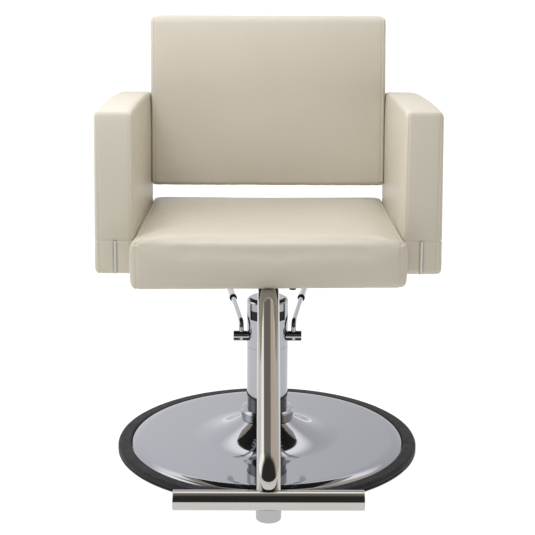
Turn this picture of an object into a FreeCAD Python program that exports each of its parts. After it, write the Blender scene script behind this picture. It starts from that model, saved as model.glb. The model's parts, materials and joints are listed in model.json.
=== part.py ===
import FreeCAD, Part
import math
import os

# Styling chair: hydraulic pump on a round base, upholstered seat between two box arms,
# a back panel bolted between the arms, and a T-bar footrest on a bent pole.
# Millimetres. Origin on the floor under the pump's axis, +Z up. The sitter faces -Y.

# ---- base ----
BASE_R = 300.0            # outside of the rim ring
RIM_INNER_R = 274.0       # inner edge of the rim ring's top lip
RIM_TOP_Z = 15.0
DISC_SKIN = 2.0           # thickness of the pressed chrome cover
BALLAST_R = 270.0
BALLAST_T = 8.0
COLLAR_R = 52.5
COLLAR_Z = (59.0, 79.0)
NECK_R = 50.0             # radius where the cover meets the collar
FLARE_R = 150.0           # radius where the cover starts to rise to its neck
FLARE_Z = 21.6

# ---- pump ----
TUBE_R = 39.5             # reservoir tube
TUBE_BORE_R = 36.0
COVER_R = 41.0            # chrome sleeve and head shroud
COVER_BORE_R = 39.7
COVER_Z = (104.0, 209.0)
SHROUD_Z = (209.4, 308.5)
HEAD_FLOOR_Z = 262.0      # underside of the head's solid top
CYLINDER_R = 21.0
CYLINDER_BORE_R = 18.0
WINDOW_Z = (267.5, 301.0)
PANEL_R = (37.0, 39.3)    # inside and outside of the panels behind the window
RAM_R = 16.0
RAM_Z = (60.0, 362.5)
LIFT_TRAVEL = 150.0
RUNNING = 0.05            # radial clearance of a shaft in its bore
FREE = 0.4                # gap between moving pieces that must not touch

# ---- pedal ----
SHAFT_Y = -12.0
SHAFT_Z = 231.5
SHAFT_R = 7.0
BOSS_R = 10.0
BOSS_X = (30.0, 67.5)
BOSS_CLEAR_R = COVER_R + 1.6
LEVER_X = 52.0
LEVER_R = 5.0
LEVER_KNEE = (-10.0, 261.0)            # y, z where the lever turns back
LEVER_TIP = (84.0, 290.0, 254.0)
SLEEVE_R = 7.5
SLEEVE_LENGTH = 108.0
YOKE_R = (28.0, 34.5)
YOKE_HALF_T = 5.0
PLUNGER_Y = 30.0
PLUNGER_R = 3.5
PLUNGER_HEAD_R = 5.5
VALVE_BLOCK_Z = (128.0, 175.5)
SPRING_Z = (VALVE_BLOCK_Z[1] + 1.0, 217.1)

# ---- seat ----
HUB_Z = (334.5, 366.5)
PLATE_Z = (366.5, 372.5)
SEAT_HALF_W = 240.2
SEAT_FRONT_Y = -296.0
SEAT_REAR_Y = 206.0
SEAT_BOTTOM_Z = 405.5
SEAT_FRONT_TOP_Z = 487.5
SEAT_REAR_TOP_Z = 471.0
SEAT_BOARD_T = 18.0
SEAT_BOARD_INSET = 14.0
SEAT_EDGE_R = 9.0

# ---- arms ----
ARM_X = (240.8, 308.8)
ARM_Y = (-228.0, 200.0)
ARM_Z = (411.0, 706.6)
ARM_REAR_TOP_Z = 695.0
ARM_EDGE_R = 14.0
STRIP_PROUD = 1.2
ARM_SEAM_Z = 473.5
ARM_CORE_INSET = 16.0

# ---- back ----
BACK_HALF_W = 240.2
BACK_Z = (508.0, 853.0)
BACK_FRONT_Y = (125.0, 168.0)         # at the bottom and at the top
BACK_T = 74.0
BACK_EDGE_R = 14.0

# ---- footrest ----
POLE_R = 19.05
POLE_WALL = 2.5
POLE_Z = 384.5             # height of the level stretch under the seat
POLE_POINTS = [(-108.0, POLE_Z), (-298.0, POLE_Z), (-580.0, 184.0), (-580.0, 112.0)]
POLE_BENDS = (60.0, 45.0)
BAR_R = 15.9
BAR_WALL = 2.0
BAR_HALF_LENGTH = 147.5           # without the end lids
LID_T = 2.0
BAR_Y = -600.0
BAR_Z = 144.6
CAP_R = 20.3
CAP_Z = (104.6, 132.6)

V = FreeCAD.Vector
X_AXIS = V(1, 0, 0)
Y_AXIS = V(0, 1, 0)
Z_AXIS = V(0, 0, 1)


# ---------------------------------------------------------------- helpers

def box(x, y, z):
    """Box between the two values of each pair."""
    size = [pair[1] - pair[0] for pair in (x, y, z)]
    return Part.makeBox(size[0], size[1], size[2], V(x[0], y[0], z[0]))


def cylinder(radius, z, x=0.0, y=0.0):
    """Upright cylinder between two heights."""
    return Part.makeCylinder(radius, z[1] - z[0], V(x, y, z[0]), Z_AXIS)


def tube(outer, inner, z, x=0.0, y=0.0):
    return cylinder(outer, z, x, y).cut(cylinder(inner, z, x, y))


def rod(radius, start, end):
    """Round bar from one point to another."""
    start = V(*start)
    run = V(*end).sub(start)
    return Part.makeCylinder(radius, run.Length, start, run)


def turned(points):
    """Solid of revolution about Z from an outline of (radius, height) points."""
    corners = [V(r, 0, z) for r, z in points]
    outline = Part.makePolygon(corners + [corners[0]])
    return Part.Face(outline).revolve(V(0, 0, 0), Z_AXIS, 360)


def extruded_yz(points, x):
    """Outline of (y, z) points carried from one X to another."""
    corners = [V(x[0], y, z) for y, z in points]
    outline = Part.makePolygon(corners + [corners[0]])
    return Part.Face(outline).extrude(V(x[1] - x[0], 0, 0))


def rounded(shape, radius, chosen):
    """Fillet every edge that chosen(edge) accepts."""
    return shape.makeFillet(radius, [edge for edge in shape.Edges if chosen(edge)])


def any_edge(edge):
    return True


def bent_path(points, bends):
    """Wire of straight runs through 3-D points, joined by tangent arcs."""
    points = [V(*p) for p in points]
    edges = []
    start = points[0]
    for index, bend in enumerate(bends, start=1):
        corner = points[index]
        back = points[index - 1].sub(corner).normalize()
        ahead = points[index + 1].sub(corner).normalize()
        half = back.getAngle(ahead) / 2
        trim = bend / math.tan(half)
        enter = corner + back * trim
        leave = corner + ahead * trim
        inward = (back + ahead).normalize()
        middle = corner + inward * (bend / math.sin(half) - bend)
        edges.append(Part.LineSegment(start, enter).toShape())
        edges.append(Part.Arc(enter, middle, leave).toShape())
        start = leave
    edges.append(Part.LineSegment(start, points[-1]).toShape())
    return Part.Wire(edges)


def bent_rod(points, bends, radius):
    """Round bar along a bent path."""
    path = bent_path(points, bends)
    direction = V(*points[1]).sub(V(*points[0]))
    section = Part.Wire(Part.makeCircle(radius, V(*points[0]), direction))
    return path.makePipeShell([section], True, False)


def hex_bolt(head_r, shank_r, head, shank, centre, axis):
    """Bolt whose head stands on centre and whose shank runs back along the axis."""
    centre = V(*centre)
    corners = []
    for step in range(7):
        angle = math.radians(60 * step)
        corners.append(V(head_r * math.cos(angle), head_r * math.sin(angle), 0))
    bolt_head = Part.Face(Part.makePolygon(corners)).extrude(V(0, 0, head))
    bolt = bolt_head.fuse(Part.makeCylinder(shank_r, shank, V(0, 0, -shank)))
    turn = FreeCAD.Rotation(Z_AXIS, axis)
    bolt.Placement = FreeCAD.Placement(centre, turn)
    return bolt


def around(count, radius, start=0.0):
    """Points evenly spaced on a circle about Z."""
    for step in range(count):
        angle = math.radians(start + 360.0 * step / count)
        yield radius * math.cos(angle), radius * math.sin(angle)


def both_sides(shape):
    """A shape and its mirror image across the middle plane."""
    return [shape, shape.mirror(V(0, 0, 0), X_AXIS)]


def joined(shapes):
    return Part.makeCompound(list(shapes))


def save(name, shape):
    for solid in shape.Solids:
        if not solid.isValid():
            raise ValueError(name + " is not a valid solid")
    shape.exportStep(os.path.join("parts", name + ".step"))


# ---------------------------------------------------------------- base

def make_base():
    # Moulded ring: stands on the floor, has a shallow groove round its outside, and grips the cover's edge.
    ring = turned([(BASE_R - 20, 0), (BASE_R - 1.5, 0), (BASE_R, 1.5), (BASE_R, 4.0), (BASE_R - 1.2, 4.6),
                   (BASE_R - 1.2, 5.4), (BASE_R, 6.0), (BASE_R, RIM_TOP_Z - 5),
                   (BASE_R - 1.5, RIM_TOP_Z - 2), (BASE_R - 5, RIM_TOP_Z), (RIM_INNER_R + 4, RIM_TOP_Z),
                   (RIM_INNER_R, RIM_TOP_Z - 1.5), (RIM_INNER_R, 12.5), (BASE_R - 16, 12.5),
                   (BASE_R - 16, 8), (BASE_R - 20, 8)])
    save("base_rim_ring", ring)

    # Pressed cover: flat edge under the ring, a rolled shoulder, a gentle cone and a flared neck.
    cone_foot_z = 20.6
    outer = [(BASE_R - 16.3, 12.4), (RIM_INNER_R - 1, 12.4), (RIM_INNER_R - 4, 16.5),
             (RIM_INNER_R - 9, 19.0), (RIM_INNER_R - 16, cone_foot_z)]
    flare_steps = 20
    for step in range(flare_steps + 1):
        part = step / flare_steps
        radius = FLARE_R + (NECK_R - FLARE_R) * part
        height = FLARE_Z + (COLLAR_Z[0] - FLARE_Z) * part ** 2
        outer.append((radius, height))
    inner = [(r, z - DISC_SKIN) for r, z in outer]
    cover = turned(outer + inner[::-1])
    save("base_disc", cover)

    ballast = cylinder(BALLAST_R, (0, BALLAST_T))
    flange_bolt_ring = 62.0
    flange_z = (BALLAST_T, BALLAST_T + 10)
    flange = cylinder(78.0, flange_z).fuse(tube(TUBE_R + 7, TUBE_R, (flange_z[1], 40.0)))
    bolts = []
    for x, y in around(6, flange_bolt_ring, 30.0):
        bolts.append(hex_bolt(6.5, 3.9, 5.0, 14.0, (x, y, flange_z[1]), Z_AXIS))
        hole = cylinder(4.0, (flange_z[1] - 14.0, flange_z[1]), x, y)
        ballast = ballast.cut(hole)
        flange = flange.cut(hole)
    save("ballast_plate", ballast)
    save("pump_flange", flange)
    save("flange_bolts", joined(bolts))

    # Chrome collar with a rounded top, resting on the neck of the cover.
    low, high = COLLAR_Z
    collar = turned([(TUBE_R + 0.3, low), (COLLAR_R, low), (COLLAR_R, high - 5), (COLLAR_R - 1.5, high - 1.5),
                     (COLLAR_R - 5, high), (TUBE_R + 0.3, high)])
    save("collar_ring", collar)


# ---------------------------------------------------------------- pump

def side_bore(radius):
    """Cross bore for the two pedal shafts."""
    return rod(radius, (-60, SHAFT_Y, SHAFT_Z), (60, SHAFT_Y, SHAFT_Z))


def make_pump():
    floor_z = 18.0
    save("pump_body", tube(TUBE_R, TUBE_BORE_R, (floor_z, COVER_Z[1])))
    save("foot_valve", cylinder(CYLINDER_R + 6, (floor_z, 34.0)))
    save("pressure_cylinder", tube(CYLINDER_R, CYLINDER_BORE_R, (34.0, HEAD_FLOOR_Z)))

    # Ring between the two tubes, bored for the plunger, the suction and the return passages.
    block_z = VALVE_BLOCK_Z
    block = tube(TUBE_BORE_R, CYLINDER_R, block_z)
    block = block.cut(cylinder(PLUNGER_R + RUNNING, block_z, 0, PLUNGER_Y))
    for x, y in around(3, 28.5, 0.0):
        block = block.cut(cylinder(3.0, block_z, x, y))
    save("valve_block", block)
    plunger_seal = tube(PLUNGER_HEAD_R, PLUNGER_R + RUNNING, (block_z[1], SPRING_Z[0]), 0, PLUNGER_Y)

    # Head casting: open chamber for the yoke below, solid guide above.
    head_top = SHROUD_Z[1] - 9.5
    head = turned([(TUBE_BORE_R, COVER_Z[1]), (TUBE_R, COVER_Z[1]), (TUBE_R, head_top - 6),
                   (TUBE_R - 6, head_top), (RAM_R + 5, head_top), (RAM_R + 5, HEAD_FLOOR_Z),
                   (TUBE_BORE_R, HEAD_FLOOR_Z)])
    bush_r = SHAFT_R + 2.5
    head = head.cut(side_bore(bush_r))
    window_low, window_high = WINDOW_Z
    pocket = tube(TUBE_R + 1, PANEL_R[0] - 0.2, (window_low - 0.5, window_high + 0.5))
    head = head.cut(pocket.common(box((-34.5, 34.5), (-45, -19), (window_low - 1, window_high + 1))))

    bush = rod(bush_r, (20, SHAFT_Y, SHAFT_Z), (COVER_R, SHAFT_Y, SHAFT_Z))
    wall_span = (SHAFT_Z - 20, SHAFT_Z + 20)
    bush = bush.common(tube(COVER_R - 0.2, TUBE_BORE_R, wall_span)).cut(side_bore(SHAFT_R + RUNNING))
    save("shaft_bushes", joined(both_sides(bush)))

    save("guide_bush", tube(RAM_R + 5, RAM_R + RUNNING, (HEAD_FLOOR_Z, head_top)))
    wiper = tube(RAM_R + 7, RAM_R + RUNNING, (head_top, SHROUD_Z[1] - 1.8))
    save("pump_seals", joined([wiper, plunger_seal]))

    save("pump_cover", tube(COVER_R, COVER_BORE_R, COVER_Z))

    # Head shroud: a deep cap with rounded shoulders, a square front window and a hole for the ram.
    low, high = SHROUD_Z
    wall = COVER_R - COVER_BORE_R
    shroud = turned([(COVER_BORE_R, low), (COVER_R, low), (COVER_R, high - 8), (COVER_R - 0.8, high - 4.6),
                     (COVER_R - 3.0, high - 1.8), (COVER_R - 7.0, high), (RAM_R + 2, high),
                     (RAM_R + 2, high - wall), (COVER_R - 7.0, high - wall), (COVER_BORE_R - 2.0, high - 3.4),
                     (COVER_BORE_R, high - 8)])
    shroud = shroud.cut(box((-34.0, 34.0), (-45, -20), WINDOW_Z))
    shroud = shroud.cut(side_bore(bush_r))
    screw_x = 35.0
    screw_y = -math.sqrt(COVER_R ** 2 - screw_x ** 2)
    screw_z = window_high - 3.0
    outward = V(screw_x, screw_y, 0).normalize()
    screws = []
    for side in (-1, 1):
        direction = V(side * outward.x, outward.y, 0)
        tip = direction * (COVER_R + 0.8)
        root = direction * (COVER_BORE_R - 3.0)
        screws.append(rod(2.5, (root.x, root.y, screw_z), (tip.x, tip.y, screw_z)))
        shroud = shroud.cut(screws[-1])
        head = head.cut(screws[-1])
    save("pump_head", head)
    save("head_shroud", shroud)
    save("shroud_screws", joined(screws))

    # The window shows a grey spring housing above and a black dust shutter below.
    shell = tube(PANEL_R[1], PANEL_R[0], WINDOW_Z)
    split_z = (window_low + window_high) / 2 + 1.0
    grey = box((-34.0, 34.0), (-45, -19.5), (split_z + 0.2, window_high)).common(shell)
    black = box((-34.0, 34.0), (-45, -19.5), (window_low, split_z - 0.2)).common(shell)
    for screw in screws:
        grey = grey.cut(screw)
    save("head_block", grey)
    save("dust_shutter", black)


# ---------------------------------------------------------------- ram

def make_ram():
    low, high = RAM_Z
    ram = cylinder(RAM_R, RAM_Z)
    ram = rounded(ram, 1.5, lambda edge: edge.BoundBox.ZMin > high - 0.01)
    save("ram_rod", ram)
    piston_r = CYLINDER_BORE_R - RUNNING
    ring_z = (45.0, 50.0)
    piston = cylinder(piston_r, (36.0, low)).cut(tube(piston_r + 1, 14.0, ring_z))
    save("piston_head", piston)
    save("piston_ring", tube(piston_r, 14.0, ring_z))
    save("thrust_washer", cylinder(RAM_R - 2.0, (high, high + 2.5)))


# ---------------------------------------------------------------- pedal

def make_pedal():
    # Yoke: half ring behind the pressure cylinder, joined to both shafts.
    yoke = tube(YOKE_R[1], YOKE_R[0], (SHAFT_Z - YOKE_HALF_T, SHAFT_Z + YOKE_HALF_T))
    yoke = yoke.cut(box((-50, 50), (-50, SHAFT_Y - 7), (SHAFT_Z - 20, SHAFT_Z + 20)))
    yoke = yoke.cut(side_bore(4.0))
    save("pedal_yoke", yoke)

    # Lever: up out of its boss, then straight back and slightly outward.
    knee = (LEVER_X, LEVER_KNEE[0], LEVER_KNEE[1])
    lever = bent_rod([(LEVER_X, SHAFT_Y, SHAFT_Z + 3.0), knee, LEVER_TIP], [13.0], LEVER_R)

    across = (SHAFT_Z - 20, SHAFT_Z + 20)
    shaft = rod(SHAFT_R, (20, SHAFT_Y, SHAFT_Z), (BOSS_X[1], SHAFT_Y, SHAFT_Z))
    shaft = shaft.cut(cylinder(YOKE_R[1] + 0.2, across))
    spigot = rod(4.0, (20, SHAFT_Y, SHAFT_Z), (YOKE_R[1] + 1, SHAFT_Y, SHAFT_Z))
    spigot = spigot.cut(cylinder(YOKE_R[0], across))
    shaft = shaft.fuse(spigot).cut(lever)

    boss = rod(BOSS_R, (BOSS_X[0], SHAFT_Y, SHAFT_Z), (BOSS_X[1], SHAFT_Y, SHAFT_Z))
    boss = rounded(boss, 0.8, lambda edge: edge.Closed and edge.BoundBox.XMin > BOSS_X[1] - 0.1)
    boss = boss.cut(cylinder(BOSS_CLEAR_R, across))
    boss = boss.cut(rod(SHAFT_R, (BOSS_X[0] - 1, SHAFT_Y, SHAFT_Z), (BOSS_X[1] + 1, SHAFT_Y, SHAFT_Z)))
    screw_z = SHAFT_Z - 3.5
    screw_hole = rod(3.0, (LEVER_X, SHAFT_Y, screw_z), (LEVER_X, SHAFT_Y - 30, screw_z))
    boss = boss.cut(lever).cut(screw_hole)
    screw = rod(3.0, (LEVER_X, SHAFT_Y, screw_z), (LEVER_X, SHAFT_Y - BOSS_R + 0.6, screw_z))
    screw = screw.cut(rod(SHAFT_R, (BOSS_X[0], SHAFT_Y, SHAFT_Z), (BOSS_X[1], SHAFT_Y, SHAFT_Z)))
    save("pedal_shafts", joined(both_sides(shaft)))
    save("lever_bosses", joined(both_sides(boss)))
    save("boss_set_screws", joined(both_sides(screw)))

    run = V(*LEVER_TIP).sub(V(*knee)).normalize()
    tip = V(*LEVER_TIP)
    start = tip - run * SLEEVE_LENGTH
    end = tip + run * 3.0
    sleeve = rod(SLEEVE_R, tuple(start), tuple(end))
    sleeve = rounded(sleeve, 3.0, lambda edge: edge.Closed and edge.CenterOfMass.distanceToPoint(end) < 0.1)
    sleeve = sleeve.cut(lever)
    ring = rod(SLEEVE_R + 0.4, tuple(start - run * 4.0), tuple(start)).cut(lever)
    levers = both_sides(lever)
    save("lever_rod_right", levers[0])
    save("lever_rod_left", levers[1])
    save("lever_sleeves", joined(both_sides(sleeve)))
    save("sleeve_rings", joined(both_sides(ring)))


def make_plunger():
    head_low = SPRING_Z[1]
    top = SHAFT_Z - YOKE_HALF_T - FREE
    stem = cylinder(PLUNGER_R, (VALVE_BLOCK_Z[0] + 6.0, head_low), 0, PLUNGER_Y)
    head = cylinder(PLUNGER_HEAD_R, (head_low, top), 0, PLUNGER_Y)
    head = rounded(head, 2.5, lambda edge: edge.BoundBox.ZMin > top - 0.01)
    save("plunger", stem.fuse(head))

    wire_r = 0.6
    coil_r = PLUNGER_R + 0.35 + wire_r
    turns = 6.5
    low = SPRING_Z[0] + wire_r
    height = SPRING_Z[1] - wire_r - low
    helix = Part.makeHelix(height / turns, height, coil_r)
    section = Part.Wire(Part.makeCircle(wire_r, V(coil_r, 0, 0), Y_AXIS))
    spring = Part.Wire(helix).makePipeShell([section], True, True)
    spring.translate(V(0, PLUNGER_Y, low))
    save("plunger_spring", spring)


# ---------------------------------------------------------------- seat frame

def make_seat_frame():
    hub = cylinder(30.0, HUB_Z)
    hub = rounded(hub, 3.0, lambda edge: abs(edge.BoundBox.ZMax - HUB_Z[0]) < 0.01)
    hub = hub.cut(cylinder(RAM_R + RUNNING, (HUB_Z[0], RAM_Z[1] + 3.0)))
    save("swivel_hub", hub)

    plate_half = 98.0
    plate = rounded(box((-plate_half, plate_half), (-plate_half, plate_half), PLATE_Z), 15.0,
                    lambda edge: edge.BoundBox.ZLength > 5)
    rail_x = (74.0, 104.0)
    rail_z = (PLATE_Z[1], SEAT_BOTTOM_Z - 1.0)
    rail_y = (-165.0, 170.0)
    wall = 2.5
    inside = box((rail_x[0] + wall, rail_x[1] - wall), (rail_y[0] - 1, rail_y[1] + 1),
                 (rail_z[0] + wall, rail_z[1] - wall))
    rail = box(rail_x, rail_y, rail_z).cut(inside)
    bolt_x = 86.0
    bolts = []
    for y in (-80.0, 80.0):
        hole = cylinder(4.0, (PLATE_Z[0] - 1, rail_z[0] + wall), bolt_x, y)
        plate = plate.cut(hole).cut(hole.mirror(V(0, 0, 0), X_AXIS))
        rail = rail.cut(hole)
        bolts += both_sides(hex_bolt(7.0, 3.9, 5.0, 15.0, (bolt_x, y, PLATE_Z[0]), Z_AXIS * -1))
    save("seat_plate", plate)
    save("plate_bolts", joined(bolts))

    # The rails' own screws run up through their top wall into the seat board.
    screws = []
    for y in (-150.0, 0.0, 150.0):
        hole = cylinder(3.0, (rail_z[1] - wall - 0.5, SEAT_BOTTOM_Z + 16), bolt_x, y)
        rail = rail.cut(hole)
        screws += both_sides(hex_bolt(6.0, 2.95, 4.0, 18.0, (bolt_x, y, rail_z[1] - wall), Z_AXIS * -1))
    rails = both_sides(rail)
    save("seat_rail_right", rails[0])
    save("seat_rail_left", rails[1])
    save("rail_screws", joined(screws))
    return screws


# ---------------------------------------------------------------- upholstery

def make_seat(rail_screws):
    outline = [(SEAT_FRONT_Y, SEAT_BOTTOM_Z), (SEAT_FRONT_Y, SEAT_FRONT_TOP_Z),
               (SEAT_REAR_Y, SEAT_REAR_TOP_Z), (SEAT_REAR_Y, SEAT_BOTTOM_Z)]
    cushion = extruded_yz(outline, (-SEAT_HALF_W, SEAT_HALF_W))
    cushion = rounded(cushion, SEAT_EDGE_R, any_edge)
    half_w = SEAT_HALF_W - SEAT_BOARD_INSET
    y = (SEAT_FRONT_Y + SEAT_BOARD_INSET, SEAT_REAR_Y - SEAT_BOARD_INSET)
    board_z = (SEAT_BOTTOM_Z + 0.5, SEAT_BOTTOM_Z + 0.5 + SEAT_BOARD_T)
    board = box((-half_w, half_w), y, board_z)
    cushion = cushion.cut(box((-half_w, half_w), y, (SEAT_BOTTOM_Z - 1, board_z[1])))
    cover = box((-half_w, half_w), y, (SEAT_BOTTOM_Z - 0.9, SEAT_BOTTOM_Z + 0.5))
    for screw in rail_screws:
        board = board.cut(screw)
        cover = cover.cut(screw)
    return cushion, board, cover


def arm_block(grow=0.0):
    """The arm's outer form, grown outwards in the vertical plane by a given amount."""
    low, high = ARM_Z
    front, rear = ARM_Y
    outline = [(front - grow, low - grow), (front - grow, high + grow),
               (rear + grow, ARM_REAR_TOP_Z + grow), (rear + grow, low - grow)]
    return rounded(extruded_yz(outline, ARM_X), ARM_EDGE_R, any_edge)


def make_arm():
    whole = arm_block()
    inset = ARM_CORE_INSET
    core = box((ARM_X[0] + inset, ARM_X[1] - inset), (ARM_Y[0] + inset, ARM_Y[1] - inset),
               (ARM_Z[0] + inset, ARM_REAR_TOP_Z - inset))
    pad = whole.cut(core)
    wall = 14.0
    core = core.cut(box((ARM_X[0] + inset + wall, ARM_X[1] - inset + 1),
                        (ARM_Y[0] + inset + 40, ARM_Y[1] - inset - 40),
                        (ARM_Z[0] + inset + 40, ARM_REAR_TOP_Z - inset - 40)))

    # Thin metal strip up the middle of the front, from under the bottom edge to the seam.
    middle = (ARM_X[0] + ARM_X[1]) / 2
    reach = box((middle - 2.0, middle + 2.0), (ARM_Y[0] - 5, ARM_Y[0] + 30), (ARM_Z[0] - 5, ARM_SEAM_Z))
    strip = arm_block(STRIP_PROUD).common(reach).cut(whole)
    return pad, core, strip


def make_back():
    low, high = BACK_Z
    low_y, high_y = BACK_FRONT_Y
    outline = [(low_y, low), (high_y, high), (high_y + BACK_T, high), (low_y + BACK_T, low)]
    cushion = rounded(extruded_yz(outline, (-BACK_HALF_W, BACK_HALF_W)), BACK_EDGE_R, any_edge)
    inset = 26.0
    slope = (high_y - low_y) / (high - low)
    low_in = low_y + slope * inset
    high_in = high_y - slope * inset
    core_outline = [(low_in + 34, low + inset), (high_in + 34, high - inset),
                    (high_in + 56, high - inset), (low_in + 56, low + inset)]
    core = extruded_yz(core_outline, (-BACK_HALF_W + 12, BACK_HALF_W - 12))
    return cushion.cut(core), core


def make_upholstery(rail_screws):
    cushion, seat_board, dust_cover = make_seat(rail_screws)
    pad, arm_core, strip = make_arm()
    back, back_core = make_back()

    # Bolts from each arm's core into the seat board's edge and into the back's frame.
    inner_x = ARM_X[0] + ARM_CORE_INSET
    bolt_z = SEAT_BOTTOM_Z + 34.0
    arm_bolts = []
    for y in (-170.0, 0.0, 150.0):
        arm_bolts += both_sides(rod(4.0, (SEAT_HALF_W - 44, y, bolt_z), (inner_x + 14, y, bolt_z)))
    back_bolts = []
    for y, z in ((170.0, 548.0), (180.0, 650.0)):
        back_bolts += both_sides(rod(4.0, (BACK_HALF_W - 42, y, z), (inner_x + 14, y, z)))
    pads = both_sides(pad)
    cores = both_sides(arm_core)
    for bolt in arm_bolts + back_bolts:
        cushion = cushion.cut(bolt)
        back = back.cut(bolt)
        back_core = back_core.cut(bolt)
        pads = [piece.cut(bolt) for piece in pads]
        cores = [piece.cut(bolt) for piece in cores]
    save("seat_cushion", cushion)
    save("seat_board", seat_board)
    save("dust_cover", dust_cover)
    save("arm_pad_right", pads[0])
    save("arm_pad_left", pads[1])
    save("arm_core_right", cores[0])
    save("arm_core_left", cores[1])
    strips = both_sides(strip)
    save("arm_strip_right", strips[0])
    save("arm_strip_left", strips[1])
    save("arm_bolts", joined(arm_bolts))
    save("back_cushion", back)
    save("back_board", back_core)
    save("back_bolts", joined(back_bolts))


# ---------------------------------------------------------------- footrest

def make_footrest():
    route = [(0, y, z) for y, z in POLE_POINTS]
    pole = bent_rod(route, POLE_BENDS, POLE_R)
    end_y, end_z = POLE_POINTS[-1]
    cap = cylinder(CAP_R, CAP_Z, 0, end_y)
    cap = rounded(cap, 3.0, lambda edge: abs(edge.BoundBox.ZMax - CAP_Z[0]) < 0.01)
    cap = cap.cut(cylinder(POLE_R, (end_z, CAP_Z[1] + 1), 0, end_y))
    solid_bar = rod(BAR_R, (-BAR_HALF_LENGTH, BAR_Y, BAR_Z), (BAR_HALF_LENGTH, BAR_Y, BAR_Z))
    pole = pole.cut(solid_bar).cut(bent_rod(route, POLE_BENDS, POLE_R - POLE_WALL))
    cap = cap.cut(solid_bar)
    bar = solid_bar.cut(rod(BAR_R - BAR_WALL, (-200, BAR_Y, BAR_Z), (200, BAR_Y, BAR_Z)))
    plug = rod(BAR_R - BAR_WALL, (BAR_HALF_LENGTH - 14, BAR_Y, BAR_Z), (BAR_HALF_LENGTH, BAR_Y, BAR_Z))
    lid_x = BAR_HALF_LENGTH + LID_T
    lid = rod(BAR_R, (BAR_HALF_LENGTH, BAR_Y, BAR_Z), (lid_x, BAR_Y, BAR_Z))
    lid = rounded(lid, 1.5, lambda edge: edge.Closed and edge.BoundBox.XMin > lid_x - 0.1)
    save("footrest_pole", pole)
    save("pole_end_cap", cap)
    save("foot_bar", bar)
    save("bar_end_plugs", joined(both_sides(plug.fuse(lid))))

    # Saddle block between the rails, with a strap under the pole and one large-headed clamp screw.
    block_y = (-152.0, -104.0)
    block_z = (PLATE_Z[1], SEAT_BOTTOM_Z - 1.0)
    half_width = 56.0
    block = box((-half_width, half_width), block_y, block_z)
    block = rounded(block, 3.0, lambda edge: edge.BoundBox.ZLength > 30)
    pole_hole = rod(POLE_R, (0, block_y[0] - 1, POLE_Z), (0, block_y[1] + 1, POLE_Z))
    block = block.cut(pole_hole)
    strap_t = 3.0
    strap_y = (block_y[0] + 8, block_y[1] - 8)
    strap_z = (block_z[0] - strap_t, block_z[0])
    strap = rod(POLE_R + strap_t, (0, strap_y[0], POLE_Z), (0, strap_y[1], POLE_Z))
    strap = strap.common(box((-30, 30), strap_y, (POLE_Z - 40, block_z[0])))
    strap = strap.fuse(box((-38, 38), strap_y, strap_z)).cut(pole_hole)
    bolts = []
    middle_y = (strap_y[0] + strap_y[1]) / 2
    for x in (-30.0, 30.0):
        bolt = hex_bolt(5.5, 2.9, 3.5, 30.0, (x, middle_y, strap_z[0]), Z_AXIS * -1)
        bolts.append(bolt)
        strap = strap.cut(bolt)
        block = block.cut(bolt)
    screw_x = 46.5
    screw_low = block_z[0] - 15.0
    screw = cylinder(6.5, (screw_low, block_z[0]), screw_x, middle_y)
    screw = rounded(screw, 1.5, lambda edge: edge.Closed and edge.BoundBox.ZMax < screw_low + 0.1)
    screw = screw.fuse(cylinder(4.0, (block_z[0], block_z[1] - 4), screw_x, middle_y))
    block = block.cut(screw)
    save("footrest_clamp", block)
    save("clamp_strap", strap)
    save("clamp_screw", screw)
    save("clamp_bolts", joined(bolts))


def main():
    os.makedirs("parts", exist_ok=True)
    make_base()
    make_pump()
    make_ram()
    make_pedal()
    make_plunger()
    rail_screws = make_seat_frame()
    make_upholstery(rail_screws)
    make_footrest()


main()
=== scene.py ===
import json
import math

import bmesh
import bpy
from mathutils import Euler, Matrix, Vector, noise


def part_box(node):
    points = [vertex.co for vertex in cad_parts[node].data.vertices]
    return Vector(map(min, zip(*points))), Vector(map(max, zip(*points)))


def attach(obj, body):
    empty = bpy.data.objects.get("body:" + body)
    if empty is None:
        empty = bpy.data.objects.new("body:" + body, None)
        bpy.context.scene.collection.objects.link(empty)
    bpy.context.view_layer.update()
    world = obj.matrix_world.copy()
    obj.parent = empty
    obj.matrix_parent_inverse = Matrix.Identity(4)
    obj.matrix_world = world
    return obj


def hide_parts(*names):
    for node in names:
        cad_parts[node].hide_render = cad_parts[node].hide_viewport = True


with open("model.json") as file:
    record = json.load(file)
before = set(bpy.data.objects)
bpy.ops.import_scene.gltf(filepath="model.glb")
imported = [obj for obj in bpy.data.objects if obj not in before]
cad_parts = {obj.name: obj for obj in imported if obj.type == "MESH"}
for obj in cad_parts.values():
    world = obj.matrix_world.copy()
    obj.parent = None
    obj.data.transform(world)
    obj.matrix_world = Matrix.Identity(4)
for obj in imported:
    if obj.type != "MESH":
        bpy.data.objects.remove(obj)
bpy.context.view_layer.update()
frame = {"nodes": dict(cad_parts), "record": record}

MM = 0.001

CAMERA_PLACE = (-0.012, -2.4925, 0.9905)
CAMERA_TURN_DEG = (90 - 11.19, -0.23, -0.208)
CAMERA_LENS = 87.3
CAMERA_SHIFT_Y = -0.12

COOL = (0.955, 0.985, 1.06)
PLAIN = (1.0, 1.0, 1.0)
LAMP_AIM = (0, 0, 0.5)
# name, place, size in metres, power in watts, colour
LAMPS = (
    ("overhead", (-0.3, -0.55, 1.6), (1.1, 0.8), 13.0, COOL),
    ("rear_high", (0.0, 1.0, 3.2), (2.2, 1.6), 10.0, COOL),
    ("key_left", (-2.4, -2.2, 2.4), (1.8, 2.2), 7.0, PLAIN),
)

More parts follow.
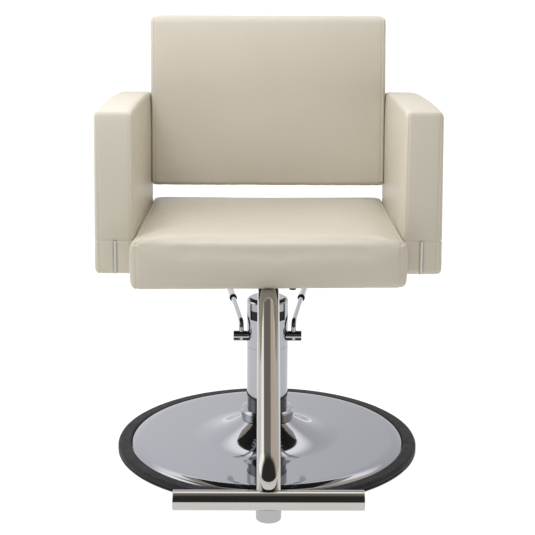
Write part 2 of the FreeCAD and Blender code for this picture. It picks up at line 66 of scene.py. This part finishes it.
FLOOR_RADIUS = 60.0
FLOOR_GLOW = 0.88
CEILING = (0.26, 0.24, 0.22)
FRONT_ROOM = (0.045, 0.045, 0.045)
RIGHT_WALL = (0.82, 0.73, 0.62)
LEFT_WALL = (1.9, 1.88, 1.82)
BACK_WALL = (1.0, 1.01, 1.04)
BACK_WALL_RIGHT = (0.78, 0.78, 0.80)
BACK_SOFTBOX = (1.7, 1.7, 1.72)

SETTLING_FRAMES = 20


# ---------------------------------------------------------------- stage, light and camera

def make_camera():
    """In front of the chair, a little above the arms, looking down."""
    camera = bpy.data.objects.new("camera", bpy.data.cameras.new("camera"))
    camera.location = CAMERA_PLACE
    camera.rotation_euler = Euler([math.radians(angle) for angle in CAMERA_TURN_DEG])
    camera.data.sensor_width = 36.0
    camera.data.lens = CAMERA_LENS
    camera.data.shift_y = CAMERA_SHIFT_Y
    bpy.context.scene.collection.objects.link(camera)
    bpy.context.scene.camera = camera


def area_light(name, place, size, power, color):
    """A rectangular lamp, turned towards the seat and unseen in the chrome and by the camera."""
    data = bpy.data.lights.new(name, "AREA")
    data.shape = "RECTANGLE"
    data.size, data.size_y = size
    data.energy = power
    data.color = color
    lamp = bpy.data.objects.new(name, data)
    lamp.location = place
    lamp.rotation_euler = (Vector(LAMP_AIM) - Vector(place)).to_track_quat("-Z", "Y").to_euler()
    lamp.visible_glossy = False
    lamp.visible_camera = False
    bpy.context.scene.collection.objects.link(lamp)


def make_lights():
    """Soft light from above for the upholstery; the chrome sees the studio instead."""
    for lamp in LAMPS:
        area_light(*lamp)


def make_world():
    """What the chrome reflects: dim ceiling, dark room in front, white walls behind and left,
    a warm wall on the right. The panels are laid over each other in the order below."""
    world = bpy.data.worlds.new("studio")
    bpy.context.scene.world = world
    world.use_nodes = True
    tree = world.node_tree
    tree.nodes.clear()
    out = tree.nodes.new("ShaderNodeOutputWorld")
    background = tree.nodes.new("ShaderNodeBackground")
    coords = tree.nodes.new("ShaderNodeTexCoord")
    split = tree.nodes.new("ShaderNodeSeparateXYZ")
    tree.links.new(coords.outputs["Generated"], split.inputs[0])

    def panel(axis, start, end, under, color):
        """Blends a wall's colour over what is under it, as the direction goes from start to end."""
        reach = add(tree, "ShaderNodeMapRange", From_Min=start, From_Max=end)
        reach.interpolation_type = "SMOOTHSTEP"
        tree.links.new(split.outputs[axis], reach.inputs["Value"])
        mix = tree.nodes.new("ShaderNodeMix")
        mix.data_type = "RGBA"
        tree.links.new(reach.outputs[0], mix.inputs["Factor"])
        for socket, value in (("A", under), ("B", color)):
            if isinstance(value, tuple):
                mix.inputs[socket].default_value = (*value, 1)
            else:
                tree.links.new(value, mix.inputs[socket])
        return mix.outputs["Result"]

    seen = panel("X", 0.24, 0.34, CEILING, RIGHT_WALL)
    seen = panel("X", -0.56, -0.68, seen, LEFT_WALL)
    seen = panel("Y", -0.05, -0.45, seen, FRONT_ROOM)
    back = panel("X", -0.15, 0.20, BACK_WALL, BACK_WALL_RIGHT)
    back = panel("Z", 0.55, 0.75, back, BACK_SOFTBOX)
    seen = panel("Y", 0.16, 0.50, seen, back)
    tree.links.new(seen, background.inputs["Color"])
    tree.links.new(background.outputs[0], out.inputs["Surface"])


def make_floor():
    """A pale floor that runs out of sight."""
    mesh = bpy.data.meshes.new("floor")
    mesh_maker = bmesh.new()
    bmesh.ops.create_circle(mesh_maker, cap_ends=True, segments=128, radius=FLOOR_RADIUS)
    mesh_maker.to_mesh(mesh)
    mesh_maker.free()
    floor = bpy.data.objects.new("floor", mesh)
    floor.location.z = -0.0005
    bpy.context.scene.collection.objects.link(floor)
    material, shader, _ = new_material("pale_floor", (0.30, 0.30, 0.30), 0.8)
    shader.inputs["Specular IOR Level"].default_value = 0.0
    shader.inputs["Emission Color"].default_value = (1.0, 1.0, 1.0, 1.0)
    shader.inputs["Emission Strength"].default_value = FLOOR_GLOW
    material.cycles.emission_sampling = "NONE"
    floor.data.materials.append(material)


# ---------------------------------------------------------------- materials

def new_material(name, color, roughness, metallic=0.0):
    """A Principled material and its node tree."""
    material = bpy.data.materials.new(name)
    material.use_nodes = True
    shader = material.node_tree.nodes["Principled BSDF"]
    shader.inputs["Base Color"].default_value = (*color, 1.0)
    shader.inputs["Roughness"].default_value = roughness
    shader.inputs["Metallic"].default_value = metallic
    return material, shader, material.node_tree


def add(tree, kind, **values):
    """A node with some of its sockets set."""
    node = tree.nodes.new(kind)
    for socket, value in values.items():
        node.inputs[socket.replace("_", " ")].default_value = value
    return node


def object_coords(tree, scale=(1.0, 1.0, 1.0)):
    """The piece's own coordinates, stretched by scale."""
    coords = tree.nodes.new("ShaderNodeTexCoord")
    mapping = tree.nodes.new("ShaderNodeMapping")
    mapping.inputs["Scale"].default_value = scale
    tree.links.new(coords.outputs["Object"], mapping.inputs["Vector"])
    return mapping.outputs["Vector"]


def noise_value(tree, vector, scale, detail=3.0, roughness=0.5):
    """A 0 to 1 noise texture."""
    node = add(tree, "ShaderNodeTexNoise", Scale=scale, Detail=detail, Roughness=roughness)
    tree.links.new(vector, node.inputs["Vector"])
    return node.outputs["Fac"]


def spread(tree, value, low, high):
    """A 0 to 1 texture value carried to the range low to high."""
    node = add(tree, "ShaderNodeMapRange", From_Min=0.3, From_Max=0.7, To_Min=low, To_Max=high)
    tree.links.new(value, node.inputs["Value"])
    return node.outputs[0]


def vary_color(tree, shader, value, dark, light):
    """Drives the base colour between two tones."""
    ramp = tree.nodes.new("ShaderNodeValToRGB")
    ramp.color_ramp.elements[0].position = 0.3
    ramp.color_ramp.elements[0].color = (*dark, 1.0)
    ramp.color_ramp.elements[1].position = 0.7
    ramp.color_ramp.elements[1].color = (*light, 1.0)
    tree.links.new(value, ramp.inputs[0])
    tree.links.new(ramp.outputs[0], shader.inputs["Base Color"])


def bump(tree, shader, value, distance, strength=1.0, under=None):
    """A bump of the given height in metres, over the bump in under; gives back the normal."""
    node = add(tree, "ShaderNodeBump", Distance=distance, Strength=strength)
    tree.links.new(value, node.inputs["Height"])
    if under is not None:
        tree.links.new(under, node.inputs["Normal"])
    tree.links.new(node.outputs[0], shader.inputs["Normal"])
    return node.outputs[0]


def leather():
    """Ivory upholstery leather: soft pebble grain, faint cloudy tone, low sheen."""
    material, shader, tree = new_material("cream_leather", (0.74, 0.68, 0.57), 0.44)
    shader.inputs["Specular IOR Level"].default_value = 0.42
    shader.inputs["Sheen Weight"].default_value = 0.06
    shader.inputs["Sheen Roughness"].default_value = 0.4
    vector = object_coords(tree)
    cloud = noise_value(tree, vector, 5.5, 4.0, 0.55)
    vary_color(tree, shader, cloud, (0.585, 0.536, 0.434), (0.615, 0.566, 0.462))
    patch = noise_value(tree, vector, 60.0, 3.0)
    tree.links.new(spread(tree, patch, 0.39, 0.50), shader.inputs["Roughness"])
    cells = add(tree, "ShaderNodeTexVoronoi", Scale=620.0)
    cells.feature = "SMOOTH_F1"
    tree.links.new(vector, cells.inputs["Vector"])
    grain = bump(tree, shader, cells.outputs["Distance"], 0.00022, 0.55)
    pores = noise_value(tree, vector, 260.0, 5.0, 0.65)
    soft = bump(tree, shader, pores, 0.00025, 0.5, grain)
    sag = noise_value(tree, vector, 26.0, 2.0)
    bump(tree, shader, sag, 0.0012, 0.35, soft)
    return material


def bright_metal(name, color, roughness, brushed=(1.0, 1.0, 1.0), scratch=0.15):
    """Plated or polished metal: slight haze, fine scratches along the polishing direction."""
    material, shader, tree = new_material(name, color, roughness, 1.0)
    haze = noise_value(tree, object_coords(tree), 14.0, 4.0)
    tree.links.new(spread(tree, haze, roughness * 0.75, roughness * 1.3), shader.inputs["Roughness"])
    lines = noise_value(tree, object_coords(tree, brushed), 420.0, 3.0)
    bump(tree, shader, lines, 0.00003, scratch)
    return material


def moulded(name, dark, light, roughness, grain=500.0, depth=0.00012, shine=0.2):
    """Plastic, rubber or paint: fine moulded texture and a slightly uneven tone."""
    material, shader, tree = new_material(name, light, roughness)
    vector = object_coords(tree)
    vary_color(tree, shader, noise_value(tree, vector, 18.0, 5.0), dark, light)
    shader.inputs["Specular IOR Level"].default_value = shine
    scuff = noise_value(tree, vector, 70.0, 4.0)
    tree.links.new(spread(tree, scuff, roughness * 0.85, roughness * 1.15), shader.inputs["Roughness"])
    bump(tree, shader, noise_value(tree, vector, grain, 3.0), depth, 0.5)
    return material


def rough_metal(name, dark, light, roughness, grain=240.0):
    """Cast, zinc-plated or turned metal."""
    material, shader, tree = new_material(name, light, roughness, 1.0)
    vector = object_coords(tree)
    vary_color(tree, shader, noise_value(tree, vector, 30.0, 4.0), dark, light)
    bump(tree, shader, noise_value(tree, vector, grain, 4.0), 0.00015, 0.5)
    return material


def plywood():
    """Birch plywood: thin layers seen on the edges, grain along the faces."""
    material, shader, tree = new_material("birch_ply", (0.66, 0.5, 0.33), 0.6)
    layers = add(tree, "ShaderNodeTexWave", Scale=110.0, Distortion=1.2, Detail=3.0)
    layers.bands_direction = "Z"
    tree.links.new(object_coords(tree), layers.inputs["Vector"])
    vary_color(tree, shader, layers.outputs["Fac"], (0.52, 0.37, 0.22), (0.72, 0.57, 0.4))
    bump(tree, shader, noise_value(tree, object_coords(tree, (8, 1, 1)), 90.0), 0.0002, 0.5)
    return material


def make_materials():
    """One finished material for each of the record's slots."""
    return {
        "cream_leather": leather(),
        "chrome": bright_metal("chrome", (0.39, 0.395, 0.42), 0.05),
        "polished_steel": bright_metal("polished_steel", (0.47, 0.455, 0.43), 0.07),
        "satin_steel": bright_metal("satin_steel", (0.40, 0.40, 0.41), 0.36, brushed=(1, 1, 9), scratch=0.5),
        "charcoal_ring": moulded(
            "charcoal_ring", (0.024, 0.022, 0.025), (0.036, 0.033, 0.037), 0.5, shine=0.12),
        "black_plastic": moulded(
            "black_plastic", (0.010, 0.010, 0.010), (0.020, 0.020, 0.020), 0.5),
        "black_steel": moulded(
            "black_steel", (0.014, 0.014, 0.014), (0.026, 0.026, 0.026), 0.38, grain=800.0),
        "zinc_steel": rough_metal("zinc_steel", (0.50, 0.51, 0.53), (0.64, 0.65, 0.67), 0.32),
        "cast_head": rough_metal(
            "cast_head", (0.20, 0.20, 0.21), (0.30, 0.30, 0.31), 0.55, grain=500.0),
        "bronze": rough_metal("bronze", (0.48, 0.32, 0.14), (0.62, 0.44, 0.2), 0.36),
        "seal_rubber": moulded(
            "seal_rubber", (0.012, 0.012, 0.012), (0.022, 0.022, 0.022), 0.7, grain=900.0),
        "birch_ply": plywood(),
    }


def paint(obj, material):
    """Gives every material slot of an object one material."""
    for slot in obj.material_slots:
        slot.link = "OBJECT"
        slot.material = material


def paint_cad_nodes(materials):
    """Each node takes its slot's material; the oil tube gets a darkened chrome, a painted dark reflection of
    the dark surroundings it would mirror.
    """
    for entry in frame["record"]["subparts"]:
        paint(frame["nodes"][entry["node"]], materials[entry["material_slot"]])
    # The oil tube's chrome is darkened: a painted dark reflection, not a finish of the tube.
    paint(frame["nodes"]["pump_body"], bright_metal("chrome_painted_dark_reflection", (0.13, 0.135, 0.16), 0.08))


# ---------------------------------------------------------------- turned pieces

def turned(name, outline, steps=256):
    """Closed solid of revolution about Z from a closed outline of (radius, height) points."""
    maker = bmesh.new()
    rings = []
    for radius, height in outline:
        ring = []
        for step in range(steps):
            angle = 2 * math.pi * step / steps
            ring.append(maker.verts.new((radius * math.cos(angle), radius * math.sin(angle), height)))
        rings.append(ring)
    for index, ring in enumerate(rings):
        above = rings[(index + 1) % len(rings)]
        for step in range(steps):
            after = (step + 1) % steps
            maker.faces.new((ring[step], ring[after], above[after], above[step]))
    bmesh.ops.recalc_face_normals(maker, faces=maker.faces)
    mesh = bpy.data.meshes.new(name)
    maker.to_mesh(mesh)
    maker.free()
    mesh.shade_smooth()
    piece = bpy.data.objects.new(name, mesh)
    bpy.context.scene.collection.objects.link(piece)
    return piece


def make_disc(material):
    """The pressed cover of the base: rolled shoulder, almost flat plate and a flared neck."""
    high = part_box("base_disc")[1]
    edge_r = high.x
    ring_inner_r = 274 * MM
    neck_r, flare_r, flare_z, skin = 50 * MM, 150 * MM, 21.6 * MM, 2 * MM
    edge_z = 12.4 * MM
    shoulder_steps, neck_steps = 12, 40
    outer = [(edge_r, edge_z), (ring_inner_r - 1 * MM, edge_z)]
    shoulder = [(ring_inner_r - 1 * MM, edge_z), (ring_inner_r - 4 * MM, 16.8 * MM),
                (ring_inner_r - 9 * MM, 19.2 * MM), (ring_inner_r - 20 * MM, 20.6 * MM)]
    for step in range(1, shoulder_steps + 1):
        outer.append(bezier(shoulder, step / shoulder_steps))
    start_r, start_z = shoulder[-1]
    for step in range(1, shoulder_steps + 1):
        part = step / shoulder_steps
        outer.append((start_r + (flare_r - start_r) * part, start_z + (flare_z - start_z) * part))
    for step in range(1, neck_steps + 1):
        part = step / neck_steps
        outer.append((flare_r + (neck_r - flare_r) * part, flare_z + (high.z - flare_z) * part ** 2))
    inner = [(radius, height - skin) for radius, height in outer]
    disc = turned("base_disc_chrome", outer + inner[::-1])
    disc.data.materials.append(material)
    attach(disc, "base")
    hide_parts("base_disc")


def bezier(points, part):
    """Point on the smooth curve guided by four control points."""
    weights = ((1 - part) ** 3, 3 * part * (1 - part) ** 2, 3 * part ** 2 * (1 - part), part ** 3)
    return tuple(sum(weight * point[axis] for weight, point in zip(weights, points)) for axis in (0, 1))


# ---------------------------------------------------------------- padded pieces

def stations(low, high, step, radius, seams=()):
    """Grid lines from low to high: close together on the rounded edges and beside each seam."""
    lines = {low, high}
    for part in (0.12, 0.3, 0.5, 0.75, 1.0):
        lines.add(low + radius * part)
        lines.add(high - radius * part)
    for seam in seams:
        for offset in (-0.0045, -0.0015, 0.0, 0.0015, 0.0045):
            lines.add(seam + offset)
    start, end = low + radius, high - radius
    count = max(2, round((end - start) / step))
    for index in range(1, count):
        line = start + (end - start) * index / count
        if all(abs(line - other) > step * 0.45 for other in lines):
            lines.add(line)
    ordered = sorted(lines)
    kept = [ordered[0]]
    for line in ordered[1:]:
        if line - kept[-1] > 0.0004:
            kept.append(line)
    kept[-1] = ordered[-1]
    return kept


def padded_block(name, xs, ys, zs, radii, place):
    """Closed block on a surface grid, with rounded edges, carried into place by place(point)."""
    grids = (xs, ys, zs)
    counts = [len(grid) for grid in grids]
    maker = bmesh.new()
    made = {}

    def corner(key):
        if key not in made:
            core, out = Vector(), Vector()
            for axis, (grid, radius) in enumerate(zip(grids, radii)):
                value = grid[key[axis]]
                core[axis] = min(max(value, grid[0] + radius), grid[-1] - radius)
                out[axis] = (value - core[axis]) / radius
            if out.length > 1.0:
                out.normalize()
            point = core + Vector([out[axis] * radii[axis] for axis in range(3)])
            made[key] = maker.verts.new(place(point))
        return made[key]

    for axis in range(3):
        first, second = (axis + 1) % 3, (axis + 2) % 3
        for side in (0, counts[axis] - 1):
            for a in range(counts[first] - 1):
                for b in range(counts[second] - 1):
                    keys = []
                    for da, db in ((0, 0), (1, 0), (1, 1), (0, 1)):
                        key = [0, 0, 0]
                        key[axis], key[first], key[second] = side, a + da, b + db
                        keys.append(tuple(key))
                    if side == 0:
                        keys.reverse()
                    maker.faces.new([corner(key) for key in keys])
    mesh = bpy.data.meshes.new(name)
    maker.to_mesh(mesh)
    maker.free()
    mesh.shade_smooth()
    block = bpy.data.objects.new(name, mesh)
    bpy.context.scene.collection.objects.link(block)
    return block


def swell(block, pressure, held, most, stiffness=12.0):
    """Cloth simulation: the cover swells over its filling, by no more than about most metres.
    held(point, normal) is 1 where it is fixed."""
    rest = [vertex.co.copy() for vertex in block.data.vertices]
    group = block.vertex_groups.new(name="held")
    for vertex in block.data.vertices:
        group.add([vertex.index], held(vertex.co, vertex.normal), "REPLACE")
    cloth = block.modifiers.new("cover", "CLOTH")
    settings = cloth.settings
    settings.quality = 6
    settings.mass = 0.35
    settings.tension_stiffness = stiffness
    settings.compression_stiffness = stiffness
    settings.shear_stiffness = stiffness * 0.5
    settings.bending_stiffness = 0.8
    settings.air_damping = 2.0
    settings.use_pressure = True
    settings.uniform_pressure_force = pressure
    settings.vertex_group_mass = "held"
    settings.effector_weights.gravity = 0.0
    scene = bpy.context.scene
    for step in range(1, SETTLING_FRAMES + 1):
        scene.frame_set(step)
    shown = block.evaluated_get(bpy.context.evaluated_depsgraph_get())
    moved = [vertex.co.copy() for vertex in shown.data.vertices]
    block.modifiers.remove(cloth)
    block.vertex_groups.remove(group)
    for vertex, start, end in zip(block.data.vertices, rest, moved):
        shift = end - start
        if shift.length > 0.0:
            shift *= most * math.tanh(shift.length / most) / shift.length
        vertex.co = start + shift
    scene.frame_set(1)


def on_edge(normal):
    """True on the rounded edges, where the cover is pulled tight over the frame."""
    return max(abs(part) for part in normal) < 0.985


def refine(block):
    """One applied subdivision."""
    block.modifiers.new("finer", "SUBSURF").levels = 1
    shown = block.evaluated_get(bpy.context.evaluated_depsgraph_get())
    finer = bpy.data.meshes.new_from_object(shown)
    block.modifiers.clear()
    block.data = finer
    finer.shade_smooth()


def press_in(block, depth_at):
    """Moves each point inwards along its normal by depth_at(point, normal), in metres."""
    normals = [vertex.normal.copy() for vertex in block.data.vertices]
    for vertex, normal in zip(block.data.vertices, normals):
        vertex.co -= normal * depth_at(vertex.co, normal)


def groove(distance, depth, width):
    """Depth of a soft groove at a distance from its middle line."""
    return depth * math.exp(-(distance / width) ** 2)


def creases(point, size, amount):
    """Shallow wandering folds, as leather takes over foam."""
    value = noise.noise(Vector((point.x * size[0], point.y * size[1], point.z * size[2])))
    ridge = 1.0 - abs(value) * 2.2
    return amount * max(0.0, ridge) ** 4


def finish_pad(block, node, material):
    """Gives a cover its leather, sets it on the seat body and hides the CAD part it takes the place of."""
    block.data.materials.clear()
    block.data.materials.append(material)
    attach(block, "seat")
    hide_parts(node)


def make_seat(material):
    low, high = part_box("seat_cushion")
    seam_x = high.x - 9 * MM
    slope = 16.5 / 502.0
    lip_middle, lip_rightward = 4.5 * MM, 2.5 * MM
    belly_share, belly_height, belly_spread = 0.018, 0.52, 0.60
    arm_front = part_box("arm_pad_left")[0].y
    radii = (11 * MM, 10 * MM, 11 * MM)
    xs = stations(low.x, high.x, 11 * MM, radii[0], (-seam_x, seam_x))
    ys = stations(low.y, high.y, 11 * MM, radii[1])
    zs = stations(low.z, high.z + 1 * MM, 8 * MM, radii[2])

    def place(point):
        """The top falls towards the rear. In front of the arms the sides belly out at mid-height
        and the lower edge hangs a little, more on the left."""
        part = (point.z - low.z) / (high.z - low.z)
        fall = part * slope * (point.y - low.y)
        ahead = min(1.0, max(0.0, (arm_front - point.y) / (arm_front - low.y)))
        belly = 1.0 + belly_share * ahead * (1.0 - ((part - belly_height) / belly_spread) ** 2)
        lip = ahead * (1.0 - part) * (lip_middle - lip_rightward * point.x / high.x)
        return Vector((point.x * belly, point.y, point.z - fall - lip))

    block = padded_block("seat_cushion_leather", xs, ys, zs, radii, place)

    def held(point, normal):
        side = abs(normal.x) > 0.9
        return 1.0 if side or point.z < low.z + 8 * MM or normal.y > 0.7 else 0.0

    swell(block, pressure=3.0, held=held, most=7 * MM)
    refine(block)

    def depth(point, normal):
        along = groove(abs(point.x) - seam_x, 1.2 * MM, 2.0 * MM) * (1 - abs(normal.x))
        edge = math.exp(-((abs(point.x) - seam_x) / 0.03) ** 2)
        folds = creases(point, (7, 34, 20), 0.35 * MM) * edge
        return along + folds + creases(point, (9, 5, 9), 0.3 * MM)

    press_in(block, depth)
    finish_pad(block, "seat_cushion", material)


def make_back(material):
    low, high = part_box("back_cushion")
    thick = 74 * MM
    lean = (high.y - low.y - thick) / (high.z - low.z)
    seam_x = high.x - 8 * MM
    radii = (7 * MM, 14 * MM, 13 * MM)
    xs = stations(low.x, high.x, 11 * MM, radii[0], (-seam_x, seam_x))
    ys = stations(-thick / 2, thick / 2, 9 * MM, radii[1])
    zs = stations(low.z, high.z - 3 * MM, 11 * MM, radii[2])

    def place(point):
        """Leans back from the bottom up, inside the cushion's own box."""
        return Vector((point.x, low.y + thick / 2 + point.y + lean * (point.z - low.z), point.z))

    block = padded_block("back_cushion_leather", xs, ys, zs, radii, place)

    def held(point, normal):
        return 1.0 if on_edge(normal) or abs(normal.x) > 0.7 else 0.0

    swell(block, pressure=2.2, held=held, most=5 * MM)
    refine(block)

    def depth(point, normal):
        along = groove(abs(point.x) - seam_x, 1.0 * MM, 2.0 * MM) * (1 - abs(normal.x))
        near = math.exp(-((abs(point.x) - seam_x) / 0.035) ** 2)
        low_edge = math.exp(-((point.z - low.z - 0.01) / 0.03) ** 2)
        side_folds = creases(point, (9, 5, 38), 0.35 * MM) * near
        low_folds = creases(point, (30, 5, 8), 0.6 * MM) * low_edge
        return along + (side_folds + low_folds) + creases(point, (5, 5, 8), 0.25 * MM)

    press_in(block, depth)
    finish_pad(block, "back_cushion", material)


def make_arm(side, material):
    low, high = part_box("arm_pad_" + side)
    seam_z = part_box("arm_strip_" + side)[1].z
    radii = (8 * MM, 9 * MM, 13 * MM)
    fall = 11.6 * MM / (high.y - low.y)
    arc_height, foot_lean, corner_tuck = 5 * MM, 4 * MM, 9 * MM
    corner_start, corner_part = 0.8, 0.2
    middle_x = (low.x + high.x) / 2
    inner_x = low.x if side == "right" else high.x
    edge_seams = (low.x + 6 * MM, high.x - 6 * MM)
    slit_sides = (middle_x - 3 * MM, middle_x + 3 * MM)
    xs = stations(low.x, high.x, 8 * MM, radii[0], (*edge_seams, *slit_sides))
    ys = stations(low.y, high.y, 12 * MM, radii[1])
    zs = stations(low.z, high.z, 11 * MM, radii[2], (seam_z,))

    def place(point):
        """The top falls towards the rear in a slight arc. The outer side leans out at the foot
        and draws in at its rear corner."""
        part = (point.z - low.z) / (high.z - low.z)
        along = (point.y - low.y) / (high.y - low.y)
        arc = arc_height * (1 - (2 * along - 1) ** 2) * part ** 3
        outward = (point.x - inner_x) / (high.x - low.x)
        lean = foot_lean * (1 - part) * outward
        tuck = corner_tuck * max(0.0, (along - corner_start) / corner_part) ** 2 * outward
        rise = arc - part * fall * (point.y - low.y)
        return Vector((point.x + lean - tuck, point.y, point.z + rise))

    block = padded_block("arm_pad_" + side + "_leather", xs, ys, zs, radii, place)

    def held(point, normal):
        seam = abs(point.z - seam_z) < 2 * MM
        strip = point.z < seam_z and abs(point.x - middle_x) < 6 * MM and normal.y < -0.5
        return 1.0 if on_edge(normal) or seam or strip else 0.0

    swell(block, pressure=1.4, held=held, most=2.5 * MM, stiffness=20.0)
    refine(block)

    def depth(point, normal):
        seam = groove(point.z - seam_z, 1.2 * MM, 1.8 * MM) * (1 - abs(normal.z))
        for line in edge_seams:
            seam = max(seam, groove(point.x - line, 1.0 * MM, 1.5 * MM) * (1 - abs(normal.x)))
        near = math.exp(-((point.z - seam_z) / 0.02) ** 2)
        slit = 0.0
        if point.z < seam_z and normal.y < -0.3:
            slit = groove(point.x - middle_x, 2.2 * MM, 3.6 * MM)
        folds = creases(point, (40, 22, 9), 0.3 * MM) * near
        return seam + slit + folds + creases(point, (9, 6, 7), 0.2 * MM)

    press_in(block, depth)
    finish_pad(block, "arm_pad_" + side, material)


def make_object():
    materials = make_materials()
    paint_cad_nodes(materials)
    make_disc(materials["chrome"])
    make_seat(materials["cream_leather"])
    make_back(materials["cream_leather"])
    for side in ("left", "right"):
        make_arm(side, materials["cream_leather"])


make_camera()
make_lights()
make_world()
make_floor()
make_object()
bpy.context.scene.view_settings.view_transform = "Standard"
